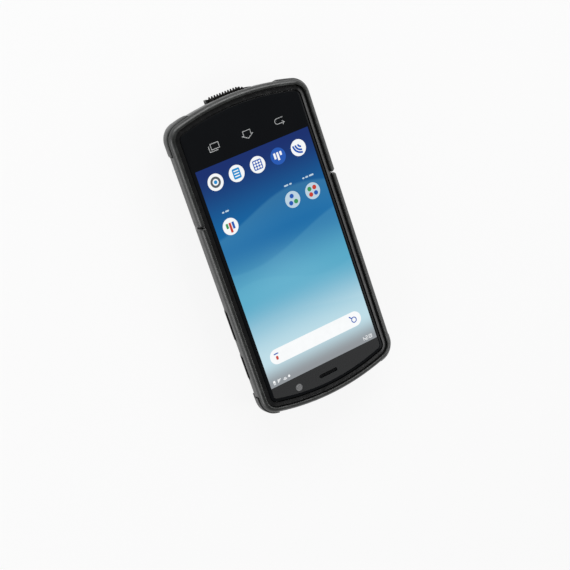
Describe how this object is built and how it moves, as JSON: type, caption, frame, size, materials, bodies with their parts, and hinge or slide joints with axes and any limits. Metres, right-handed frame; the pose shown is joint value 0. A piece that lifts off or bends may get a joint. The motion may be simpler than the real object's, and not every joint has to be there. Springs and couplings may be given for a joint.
{
  "type": "data collector",
  "caption": "Handheld touch-screen data collector in a two-part protective case with corner bumpers, side keys and a hinged, ribbed port cover.",
  "frame": {"origin": "under the middle of the whole object, on the surface that its back lies on", "axes": "+X to the device's right side, +Y to its top end with the earpiece, +Z out of the screen"},
  "size_m": [0.0778, 0.1556, 0.0195],
  "materials": {
    "case_polymer": "fine-textured charcoal moulding",
    "bumper_rubber": "matt moulded rubber",
    "cover_rubber": "matt ribbed rubber",
    "bezel_plastic": "satin black",
    "glass_black": "polished, printed black at the back",
    "housing_plastic": "fine texture",
    "key_rubber": "smooth, dark",
    "seal_rubber": "matt",
    "display": "lit screen",
    "magnesium": "as cast",
    "board_green": "solder mask",
    "shield_steel": "drawn sheet",
    "flex_amber": "film",
    "battery_grey": "wrapped cell",
    "screw_steel": "turned",
    "lens_glass": "polished",
    "red_glass": "dark red, polished",
    "component_black": "moulded"
  },
  "bodies": {
    "collector": {"case_upper_shell": "case_polymer", "case_lower_shell": "case_polymer", "bumper_top_left": "bumper_rubber", "bumper_top_right": "bumper_rubber", "bumper_bottom_left": "bumper_rubber", "bumper_bottom_right": "bumper_rubber", "front_bezel": "bezel_plastic", "front_glass": "glass_black", "rear_housing": "housing_plastic", "battery_door": "housing_plastic", "glass_gasket": "seal_rubber", "housing_seal": "seal_rubber", "display_panel": "display", "mid_frame": "magnesium", "main_board": "board_green", "processor_shield": "shield_steel", "radio_shield": "shield_steel", "usb_connector": "shield_steel", "card_socket": "shield_steel", "microphone": "shield_steel", "vibration_motor": "shield_steel", "earpiece_mesh": "shield_steel", "touch_key_flex": "flex_amber", "key_flex_right": "flex_amber", "key_flex_left": "flex_amber", "battery_pack": "battery_grey", "port_cover_pin": "screw_steel", "housing_screw_1": "screw_steel", "housing_screw_2": "screw_steel", "housing_screw_3": "screw_steel", "housing_screw_4": "screw_steel", "front_camera": "lens_glass", "rear_camera_window": "lens_glass", "flash_lens": "lens_glass", "scan_window": "red_glass", "earpiece_receiver": "component_black", "loudspeaker": "component_black", "scan_engine": "component_black", "rear_camera": "component_black", "scan_switch_right": "component_black", "scan_switch_left": "component_black", "power_switch": "component_black", "volume_up_switch": "component_black", "volume_down_switch": "component_black"},
    "scan_key_right": {"scan_key_right": "key_rubber"},
    "power_key": {"power_key": "key_rubber"},
    "scan_key_left": {"scan_key_left": "key_rubber"},
    "volume_rocker": {"volume_rocker": "key_rubber"},
    "port_cover": {"port_cover": "cover_rubber"}
  },
  "joints": [
    {"name": "scan_key_right_press", "type": "slide", "parent": "collector", "child": "scan_key_right", "axis": [-1, 0, 0], "range_m": [0, 0.0005], "stiffness_N_per_m": 1500},
    {"name": "power_key_press", "type": "slide", "parent": "collector", "child": "power_key", "axis": [-1, 0, 0], "range_m": [0, 0.0005], "stiffness_N_per_m": 1500},
    {"name": "scan_key_left_press", "type": "slide", "parent": "collector", "child": "scan_key_left", "axis": [1, 0, 0], "range_m": [0, 0.0005], "stiffness_N_per_m": 1500},
    {"name": "volume_rocker_tilt", "type": "hinge", "parent": "collector", "child": "volume_rocker", "pos_m": [-0.036, 0.04765, 0.011], "axis": [0, 0, 1], "range_deg": [-3, 3], "stiffness_Nm_per_rad": 0.04},
    {"name": "port_cover_hinge", "type": "hinge", "parent": "collector", "child": "port_cover", "pos_m": [0, -0.07587, 0.0055], "axis": [1, 0, 0], "range_deg": [0, 110]}
  ]
}
